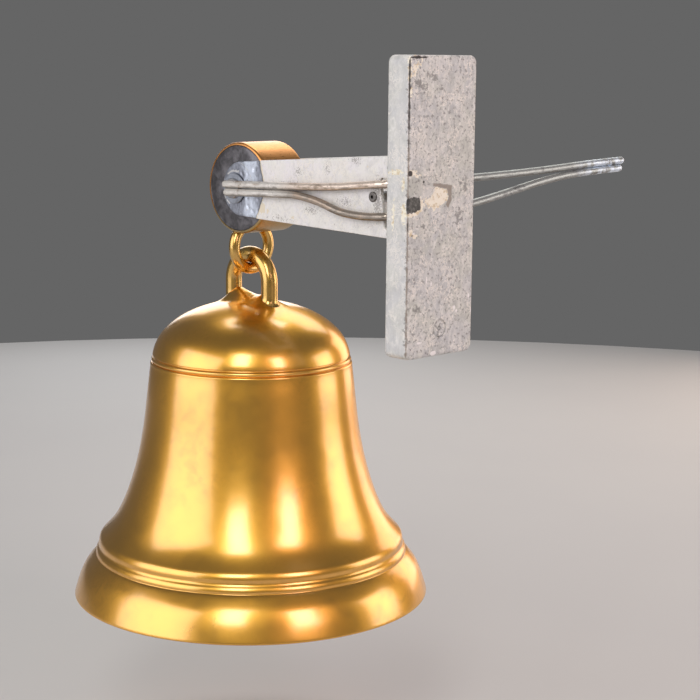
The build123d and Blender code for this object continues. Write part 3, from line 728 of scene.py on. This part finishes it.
def make_bell():
    outer, inner = profile_from(OUTER_RUNS, OUTER_STEP), profile_from(INNER_RUNS, INNER_STEP)
    outer[-1, 0] = 0.01
    body_v, body_f = lathe(outer, BELL_SEGMENTS, closed=False)
    dents = fbm(body_v, 26.0, 2, 3.3)
    crown = body_v[:, 2] > 200
    body_v[crown, 2] += saddle_lift(body_v[crown])
    radius = np.linalg.norm(body_v[:, :2], axis=1)
    sunk = (0.10 + 0.10 * dents) * smoothstep(2, 30, radius)
    body_v = body_v - body_v / np.maximum(radius, 1)[:, None] * (1, 1, 0) * sunk[:, None]
    shell_v, shell_f = merge((body_v, body_f), lathe(inner, BELL_SEGMENTS, closed=False))
    offset = np.array((0, BELL_Y, LIP_Z))
    make_object("bell_casting", GOLD, shell_v + offset, shell_f, "bell_body", ["bell"])
    loop_v, loop_f = crown_loop(outer[outer[:, 1] > SHOULDER_H])
    make_object("bell_crown_loop", GOLD_LOOP, loop_v + offset, loop_f, "bell_body")


# ---- hub ----
def torus(major, minor, n_major=144, n_minor=40):
    rows = []
    for f in np.arange(n_major) * TAU / n_major:
        for a in np.arange(n_minor) * TAU / n_minor:
            r = major + minor * cos(a)
            rows.append((r * cos(f), minor * sin(a), r * sin(f)))
    return np.array(rows), grid_faces(n_major, n_minor, True)


def make_hanger_ring():
    v, f = torus(RING_MAJOR, RING_R)
    v = v * (1 - 0.0035 * (0.5 + 0.5 * fbm(v, 12.0, 3, 9.1)))[:, None]
    v = v + (0, BELL_Y, RING_Z)
    make_object("hanger_ring_bar", GOLD_LOOP, v, f, "hub", ["hanger_ring"])


def turned(name, mat, profile, node, segments=160):
    """A lathe piece about the hub's axis, standing for one CAD node."""
    v, f = lathe(profile, segments, "X")
    return make_object(name, mat, v + (0, HUB_Y, HUB_Z), f, "hub", [node], 30)


def round_rim(r_out, r_in, half, rim, count=8):
    """Closed section of a tube with rounded outer rims, as (radius, x)."""
    bend, shoulder, end = np.linspace(0, pi / 2, count)[1:], r_out - rim, half - rim
    out = [(r_in, -half), (shoulder, -half)]
    out += [(shoulder + rim * sin(a), -end - rim * cos(a)) for a in bend]
    out += [(r_out, x) for x in np.linspace(-end, end, 24)[1:]]
    out += [(shoulder + rim * cos(a), end + rim * sin(a)) for a in bend]
    return out + [(r_in, half)]


def make_drum():
    barrel = turned("drum_barrel_shell", BRASS, round_rim(DRUM_R, DRUM_R - DRUM_WALL, DRUM_HALF, DRUM_RIM),
                    "drum_barrel", 220)
    cutter_v, cutter_f = torus(RING_MAJOR, RING_R + RING_HOLE_AIR, 96, 32)
    me = bpy.data.meshes.new("ring_clearance")
    me.from_pydata(((cutter_v + (0, BELL_Y, RING_Z)) * MM).tolist(), [], cutter_f)
    cutter = link_new("ring_clearance", me)
    boolean = barrel.modifiers.new("ring_holes", "BOOLEAN")
    boolean.operation, boolean.object, boolean.solver = "DIFFERENCE", cutter, "EXACT"
    bpy.context.view_layer.update()
    cut = bpy.data.meshes.new_from_object(barrel.evaluated_get(bpy.context.evaluated_depsgraph_get()))
    barrel.modifiers.clear()
    barrel.data = cut
    bpy.data.objects.remove(cutter)
    cut.shade_smooth()
    cut.set_sharp_from_angle(angle=radians(32))
    paint(barrel, BRASS)
    seat, bore, thick = DRUM_R - DRUM_WALL - SEAT_AIR, SHAFT_R, 3.6
    face = [(bore, -0.35), (12, -0.35), (12.6, -0.1), (seat - 2.2, -0.1), (seat - 1.6, -0.3),
            (seat - 0.9, -0.3), (seat - 0.5, -0.05), (seat, -0.4), (seat, -thick), (bore, -thick)]
    for side, node in ((1, "near_drum_disc"), (-1, "far_drum_disc")):
        profile = [(r, side * (DRUM_HALF + x)) for r, x in face]
        turned(f"{node}_turned", DISC, profile, node)


def make_shaft_end():
    """The two thrust washers, with softened rims."""
    washer = [(SHAFT_R, 0), (14.2, 0), (14.5, 0.3), (14.5, 0.9), (14.1, 1.2), (SHAFT_R, 1.2)]
    v, f = merge(*(lathe([(r, side * (CHEEK_OUT + WASHER_AIR + x)) for r, x in washer], 96, "X")
                   for side in (1, -1)))
    make_object("thrust_washer_pair", WASHER, v + (0, HUB_Y, HUB_Z), f, "hub",
                ["thrust_washers"], 25)


def rod_path(points, step=2.0):
    """Smooth hand-bent line through the route: straight runs eased by a quadratic at each bend."""
    p = np.array(points, float)
    out = [p[0]]
    for a, b, c in zip(p, p[1:], p[2:]):
        la, lc = np.linalg.norm(b - a), np.linalg.norm(c - b)
        e = 0.45 * min(la, lc)
        s, t = b + (a - b) / la * e, b + (c - b) / lc * e
        k = max(6, int(2 * e / step))
        out += [(1 - u)**2 * s + 2 * u * (1 - u) * b + u**2 * t for u in np.linspace(0, 1, k)]
    out.append(p[-1])
    path = join_runs(out)
    length = np.concatenate([[0], np.cumsum(np.linalg.norm(np.diff(path, axis=0), axis=1))])
    even = np.linspace(0, length[-1], int(length[-1] / step))
    return np.stack([np.interp(even, length, path[:, k]) for k in range(3)], axis=1)


def rod_route(reach, run):
    """Along the bracket as (y, z), then across behind the wall plate as (x, z)."""
    return [(ROD_X, y, z) for y, z in reach] + [(x, RUN_Y, z) for x, z in run]


UPPER_ROD = rod_route(
    [(-244.5, 7.6), (-190, 9.6), (-142, 11.2), (-95, 13.6), (-60, 17.4), (RUN_Y, 19.8)],
    [(10, 20.05), (-36, 20.25), (-90, 20.9), (-145, 22.2), (-200, 24.5), (-255, 27.3), (-300.9, 28.6)])
LOWER_ROD = rod_route(
    [(-242.5, 0.0), (-190, 2.0), (-146, 3.5), (-116, -0.8), (-91, -8.4), (-62, -10.4), (RUN_Y, -8.6)],
    [(8, -7.6), (-34, -6.4), (-80, -2.4), (-125, 4.6), (-168, 12), (-206, 16.8), (-250, 19.6), (-298, 21)])


def make_rods():
    for name, route, seed in (("upper", UPPER_ROD, 2.2), ("lower", LOWER_ROD, 6.7)):
        v, f = tube(rod_path(route), ROD_R, 0.22, seed)
        make_object(f"{name}_bent_rod", NICKEL[name], v, f, "hub", [f"{name}_lever_rod"], 60)


# ---- bracket ----
CREAM_CHIP = [(8.5, 18.6), (-5.7, 15.7), (-8.2, 7.8), (-3.5, 3.7), (5.4, -0.1), (10.5, -3.3),
              (13.8, 2.1), (18.9, 3.2), (22.8, 6.0), (17.8, 8.7), (12.7, 10.2), (10.3, 14.8)]
CHIP_SHADOW = [(11.8, 21.8), (-12.6, 19.0), (-12.4, 6.0), (-8.6, -0.8), (-5.0, 2.4), (-8.6, 7.6),
               (-6.4, 15.9), (11.7, 19.1)]
BARE_PATCH = [(45, 10.2), (36.7, 10.9), (29.2, 9.9), (25.9, 5.3), (26.2, 0.2), (32.6, -2.8),
              (45, -2.9)]
CREAM_FRINGE = [(27.4, 10.7), (22.7, 4.6), (24.7, -1.0), (31.4, -5.4), (44, -6.4), (44, -3.9),
                (33, -1.9), (26.5, 1.2)]
GREEN_SCUFF = [(43.3, 29.0), (27.1, 26.6), (24.2, 11.2), (41.6, 10.4)]
CREAM_NECK = [(9, 1), (17, 1), (25, 4), (24, 9), (16, 8), (10, 12)]
TOP_SCUFF = [(42, 128.5), (27, 128.2), (29.0, 121), (33, 124), (36, 113), (41.5, 112.0)]


def blob(p, x, y, z, *size):
    """Rounded patch about (x, y, z): about the distance inside an ellipsoid of three half sizes."""
    q = (p - (x, y, z)) / np.array(size)
    return (1 - np.linalg.norm(q, axis=1)) * min(size)


def plate_fields(p):
    """Wear and painted shade on the wall plate, as fields in millimetres that are positive inside a mark."""
    uv, y = p[:, [0, 2]], p[:, 1]
    near_wall = np.maximum(-3.0 - y, 0) * 1.2
    fields = {k: np.full(len(p), OUTSIDE)
              for k in ("bare", "cream", "shade", "scuff", "grime", "crack", "white", "ring")}

    def add(key, values):
        fields[key] = np.maximum(fields[key], values)
    add("bare", distance_to_polygon(uv, BARE_PATCH) - np.maximum(-1.4 - y, 0) * 3)
    for key, shape in (("cream", CREAM_CHIP), ("cream", CREAM_FRINGE), ("shade", CHIP_SHADOW),
                       ("scuff", GREEN_SCUFF)):
        add(key, distance_to_polygon(uv, shape) - near_wall)
    for half, shape in ((0.9, TOP_SCUFF), (0.7, CREAM_NECK)):
        add("cream", half - np.abs(distance_to_polygon(uv, shape)) - near_wall)
    for key, less, rows in (
            ("cream", 0.15,
             ((37.5, 0, 31.5, 6.0, 3.0, 2.4), (31.5, 0, 28.6, 3.2, 3, 1.6), (43, -14.5, 31.5, 2, 7.5, 2.4),
              (43, -6, 21, 2, 2, 6), (43, -5, -3, 2, 2.6, 9), (43, -17, -6, 2, 1.4, 12),
              (38.5, 0, -20, 3.2, 2, 2.6), (34, 0, -23, 3, 2, 2.2), (42.6, -0.5, 112, 1.6, 1.6, 8),
              (36, 0, 118, 3, 2, 4), (41, 0, 99, 2, 2, 5))),
            ("grime", 0,
             ((31, 0, 106.5, 6, 3, 4.2), (25.5, 0, 103.5, 5, 3, 4), (12.2, 0, 110.5, 4.6, 3, 3.4),
              (4, 0, 103, 4, 3, 2.2), (20, 0, 113, 3, 3, 2), (-30, 0, 17, 3, 3, 6),
              (-24, 0, 20.5, 5, 3, 1.4), (30, 0, -87, 6, 3, 3), (23, 0, -16, 3, 3, 3),
              (-22, 0, -8, 4, 3, 9))),
            ("white", 0,
             ((-37.7, 0, -80.2, 1.3, 1.3, 2.0), (-18.6, 0, -89.3, 1.4, 1.3, 2.4),
              (-21.5, 0, -92, 1.5, 1.3, 1.2), (-41, 0, -93.5, 1.0, 1.3, 1.8), (8, 0, -127, 4, 2, 2.2),
              (26, 0, -116, 3, 1.3, 1), (18, 0, -62, 0.9, 1, 3.6), (12, 0, -66, 0.9, 1, 3.0),
              (35, 0, -20.5, 1.2, 1, 0.9)))):
        for row in rows:
            add(key, blob(p, *row) - less)
    edge = np.hypot(np.maximum(p[:, 0] - 40.4, 0) - 2.4 * 0.707, np.minimum(y + 2.6, 2.6) - 2.6 * 0.707)
    along = p[:, 2]
    wander = 0.5 * np.array([noise.noise(Vector((0, 3.7, z / 9.0))) for z in along])
    width = (0.9 * smoothstep(20, 95, along) + 0.35 * smoothstep(-20, 40, along)
             + 0.9 * smoothstep(-28, -14, along) * smoothstep(-6, -12, along))
    add("crack", width - edge - 0.25 - 0.8 * np.abs(wander))
    add("shade", 0.75 - edge - 0.6 * np.abs(wander))
    add("grime", 0.9 - edge - 1.6 * np.abs(wander))
    for less, *row in ((0, 39.8, 0, 31.0, 2.8, 2.0, 2.4), (0.2, 23.2, 0, 23.1, 1.4, 1.4, 1.2),
                       (0, 36.6, 0, -22.2, 1.1, 1.2, 0.9), (0.1, 31, 0, 128.2, 10, 2.6, 1.5)):
        add("crack", blob(p, *row) - less)
    for z, depth in ((-WALL_SCREW_Z, 0.55), (WALL_SCREW_Z, -1.4)):
        r = np.hypot(p[:, 0], p[:, 2] - z)
        for at, less in ((0.82, 0), (0.42, 0.25)):
            add("ring", depth - less - np.abs(r - FERRULE_R * at) - np.where(y > -2, 0, 9))
    return fields


def sink_paint(p, normals, fields, seed):
    """Push the surface in where paint is chipped, pitted or worn, never out past the CAD face."""
    waves = 0.5 + 0.5 * fbm(p, 30.0, 3, seed)
    pits = smoothstep(0.25, 0.75, fbm(p, 4.5, 4, seed + 5))
    depth = 0.10 * waves + 0.28 * pits
    ragged = 0.8 * fbm(p, 4.0, 3, seed + 9)
    for key, cut in (("bare", 0.55), ("cream", 0.32), ("crack", 0.75), ("ring", 0.45)):
        if key in fields:
            depth = depth + cut * smoothstep(-0.3, 0.5, fields[key] + ragged)
    return p - normals * depth[:, None]


def make_wall_plate():
    w, h = PLATE_HALF_W, PLATE_HALF_H
    outline = fillet_corner([(-w, -h), (w, -h), (w, h), (-w, h)], [PLATE_CORNER_R] * 4, 9)
    holes = [circle_loop(0, z, FERRULE_R + FERRULE_AIR) for z in (-WALL_SCREW_Z, WALL_SCREW_Z)]
    v, n, f = slab(outline, 0.0, PLATE_T, PLATE_EDGE_R, PLATE_STEP, holes)
    # slab coordinates (u, v, w): x = u, z = v and w counts from the wall face into the room
    p, normals = (a[:, [0, 2, 1]] * (1, -1, 1) for a in (v, n))
    fields = plate_fields(p)
    moved = sink_paint(p, normals, fields, 4.0)
    make_object("wall_plate_body", PLATE_PAINT, moved, f, "bracket", ["wall_plate"], 50,
                fields)
    for name, (low, high) in (("upper", (25.4, 41.5)), ("lower", (-27.3, -20.4))):
        pad = fillet_corner([(-25.55, low), (25.55, low), (25.55, high), (-25.55, high)], [1.5] * 4, 4)
        v, n, f = slab(pad, PLATE_T - 1.0, PLATE_T + 15.0, 0.8, LUG_STEP)
        p, normals = (a[:, [0, 2, 1]] * (1, -1, 1) for a in (v, n))
        unmarked = {k: np.full(len(p), OUTSIDE) for k in fields}
        moved = sink_paint(p, normals, {}, 8.0)
        make_object(f"{name}_cast_lug", PLATE_PAINT, moved, f, "bracket", (), 50, unmarked)


def make_ferrules():
    """Sleeves of the wall screws. Paint closes their wall ends; the room ends are open and countersunk."""
    r, bore, sink = FERRULE_R, 3.3, 6.5
    body = [(r, -PLATE_T + 0.5), (r - 0.4, -PLATE_T + 0.05), (sink, -PLATE_T + 0.05), (bore, -PLATE_T + 3.25),
            (bore, -3.0), (0.01, -3.0)]
    sunk = [(0.01, -0.75), (1.6, -0.7), (2.6, -0.55), (5.4, -0.32), (r - 0.9, -0.3), (r - 0.2, -0.75),
            (r, -1)]
    level = [(0.01, -0.2), (4, -0.2), (r - 0.5, -0.18), (r + 0.14, -0.16), (r + 0.14, -1.0)]
    parts = []
    for z, cap in ((WALL_SCREW_Z, level), (-WALL_SCREW_Z, sunk)):
        v, f = lathe(cap + body, 72, "Y")
        parts.append((v + (0, 0, z), f))
    v, f = merge(*parts)
    fields = plate_fields(v)
    centre = np.hypot(v[:, 0], np.abs(v[:, 2]) - WALL_SCREW_Z)
    inside = np.where(v[:, 2] < 0, 0.9 - np.abs(centre - 1.4), OUTSIDE)
    fields["ring"] = np.maximum(fields["ring"], np.where(v[:, 1] > -2, inside, OUTSIDE))
    fields["bare"] = np.where(v[:, 1] < -2.5, 2.0, OUTSIDE)
    make_object("painted_screw_ferrules", PLATE_PAINT, v, f, "bracket", ["screw_ferrules"],
                30, fields)


PAINT_LINE = [(-203, 34), (-199.5, 20), (-196.3, 8), (-198.5, -4), (-202, -13), (-207, -21),
              (-208, -27), (-262, -40), (-262, 40)]


def cheek_fields(p):
    uv, x = p[:, 1:], np.abs(p[:, 0])
    outer_face = np.where(x > CHEEK_OUT - 1.2, 0.0, 6.0)
    bare = distance_to_polygon(uv, PAINT_LINE)
    fields = {"bare": np.where(x < CHEEK_IN + 1.0, np.minimum(bare, -1.0), bare)}
    cream = 1.1 - np.abs(bare + 1.0)
    for y, z, *s in ((-199, -12, 6, 7), (-191, -15, 3.5, 3), (-157, -18, 4, 2.5), (-60, 33, 3, 1.6)):
        cream = np.maximum(cream, blob(p, 0, y, z, ANY, *s) - 0.9)
    fields["cream"] = cream
    grime = np.full(len(p), OUTSIDE)
    for y, z, *s in ((-76, 38, 6, 3), (-112, 29, 3, 5), (-150, 24, 5, 2.4), (-48.5, 6, 5, 19), (-88, 1, 8, 3),
                     (-132, -10, 9, 3), (-160, 12, 14, 2.2), (-30, 40, 4, 3), (-175, -20, 10, 1.6)):
        grime = np.maximum(grime, blob(p, 0, y, z, ANY, *s))
    fields["grime"] = grime - 0.2 * outer_face
    r = np.hypot(p[:, 1] - HUB_Y, p[:, 2] - HUB_Z)
    angle = np.arctan2(p[:, 2] - HUB_Z, p[:, 1] - HUB_Y)
    worn = 0.9 - np.abs(r - 16.6)
    worn = np.where((angle > 1.2) & (angle < 2.3) | (angle < -2.0) & (angle > -2.8), worn, OUTSIDE)
    fields["worn"] = np.maximum(worn, 0.35 - np.abs(r - 25.4))
    return fields


def make_cheeks():
    root_y, end_y, end_r = -PLATE_T, -229.0, 26.2
    arc = [(end_y - end_r * sin(a), HUB_Z + end_r * cos(a)) for a in np.linspace(0, pi, 46)]
    notch = [(root_y, -19.8), (-39.6, -19.8), (-46.6, 24.2), (root_y, 24.2)]
    outline = [(root_y, 44.0), *arc, (root_y, -28.2), *notch]
    outline = fillet_corner(outline, [0.6] + [0] * len(arc) + [0.6, 0.4, 3.0, 3.0, 0.4], 6)
    holes = [circle_loop(HUB_Y, HUB_Z, 10.0, 48), circle_loop(-54.0, 7.3, 2.6, 20)]
    v, n, f = slab(outline, CHEEK_IN, CHEEK_OUT, CHEEK_EDGE_R, CHEEK_STEP, holes)
    for side, node in ((1, "near_cheek"), (-1, "far_cheek")):
        p, normals = (a[:, [2, 0, 1]] * (side, 1, 1) for a in (v, n))
        fields = cheek_fields(p)
        moved = sink_paint(p, normals, {"bare": fields["bare"]}, 12.0 + side)
        make_object(f"{node}_painted", CHEEK_PAINT, moved, f, "bracket", [node], 45,
                    fields)


# ---- set ----
LIGHT_CENTRE = Vector((0, -0.2, -0.2))


def softbox(name, azimuth, elevation, distance, size, watts, color):
    """A soft panel round the object. Azimuth is degrees to the camera's left as seen from the object."""
    a, e = radians(45 - azimuth), radians(elevation)
    d = Vector((cos(a) * cos(e), sin(a) * cos(e), sin(e)))
    data = bpy.data.lights.new(name, "AREA")
    data.shape = "RECTANGLE"
    data.size, data.size_y = size
    data.energy, data.color = watts, color
    ob = link_new(name, data)
    ob.location = LIGHT_CENTRE + d * distance
    ob.rotation_mode = "QUATERNION"
    ob.rotation_quaternion = (LIGHT_CENTRE - ob.location).to_track_quat("-Z", "Y")


FLOOR_R, FLOOR_DROP = 2.6, 0.12            # metres; the bell hangs clear of it


def make_floor(lowest):
    me = bpy.data.meshes.new("floor")
    bm = bmesh.new()
    bmesh.ops.create_circle(bm, cap_ends=True, radius=FLOOR_R, segments=96)
    bm.to_mesh(me)
    bm.free()
    floor = link_new("floor", me)
    floor.location = (0, -0.15, lowest - FLOOR_DROP)
    m = Nodes("pale_floor")
    soft = m.noise(300, 3, 0.5, seed=70.0)
    paint(floor, m.finish(m.mix(soft, (0.60, 0.60, 0.60), (0.64, 0.64, 0.63)), 0.0, 0.85))


CAMERA_PLACE, CAMERA_LOOK, CAMERA_RIGHT = (1.0911, 0.9788, 0.1269), (-0.7077, -0.7065), (-0.7065, 0.7077, 0)
CAMERA_PITCH, CAMERA_ROLL, LENS_MM, SENSOR_MM = 9.79, 0.0096, 87.1, 36.0


def make_camera():
    """The camera fitted to the photograph: place in metres, pitch in degrees down, roll in radians."""
    pitch = radians(CAMERA_PITCH)
    forward = Vector((*(c * cos(pitch) for c in CAMERA_LOOK), -sin(pitch)))
    cam = bpy.data.cameras.new("camera")
    cam.lens, cam.sensor_width = LENS_MM, SENSOR_MM
    cam.clip_start, cam.clip_end = 0.02, 50.0
    ob = link_new("camera", cam)
    right = Vector(CAMERA_RIGHT).normalized()
    turn = Matrix((right, right.cross(forward), -forward)).transposed().to_4x4()
    ob.matrix_world = Matrix.Translation(CAMERA_PLACE) @ turn @ Matrix.Rotation(CAMERA_ROLL, 4, "Z")
    bpy.context.scene.camera = ob


# name, azimuth, elevation, distance in metres, size, watts, colour
PANELS = (
    ("key_panel", 63, 16, 2.2, (2.15, 1.7), 22.5, (1.0, 0.955, 0.975)),
    ("camera_panel", 10, 33, 2.4, (0.7, 1.3), 16, (1.0, 0.975, 0.95)),
    ("right_panel", -38, 25, 2.4, (0.7, 1.1), 15, (1.0, 0.74, 0.78)),
    ("side_panel", -97, 10, 2.3, (1.1, 1.2), 11, (1.0, 0.88, 0.82)),
    ("rim_panel", -142, 8, 2.4, (1.0, 1.3), 10, (1.0, 0.76, 0.62)),
    ("top_panel", -161, 38, 2.4, (1.3, 0.9), 7.2, (1.0, 0.95, 0.90)),
    ("back_panel", 172, 16, 2.6, (1.0, 1.2), 9, (0.97, 0.98, 1.0)),
    ("crown_panel", 180, 62, 2.4, (1.2, 0.7), 12, (1.0, 0.97, 0.94)),
)
WORLD_GREY = (0.13, 0.13, 0.13, 1)


def make_lights():
    for row in PANELS:
        softbox(*row)
    world = bpy.data.worlds.new("studio")
    world.use_nodes = True
    background = world.node_tree.nodes["Background"]
    background.inputs["Color"].default_value = WORLD_GREY
    background.inputs["Strength"].default_value = 1.0
    bpy.context.scene.world = world


make_bell()
make_hanger_ring()
make_drum()
make_shaft_end()
make_rods()
make_wall_plate()
make_ferrules()
make_cheeks()
for mat, kept in (
        (OILED, ("tie_bolt", "cheek_screws")),
        (STEEL, ("tie_nut", "tie_spacer", "lever_boss", "hub_shaft", "shaft_nut", "split_pin", "clapper_pin",
                 "clapper_pin_nut", "hub_key")),
        (BRONZE, ("axle_bushes", "staple_bush")),
        (IRON, ("crown_staple", "clapper_shaft", "clapper_ball", "clapper_flight")),
        (DISC, ("drum_core",))):
    for node in kept:
        finish_node(node, mat)
make_camera()
make_floor(cad_box[0].z)
make_lights()
bpy.context.scene.view_settings.view_transform = "Standard"
bpy.context.scene.view_settings.look = "None"
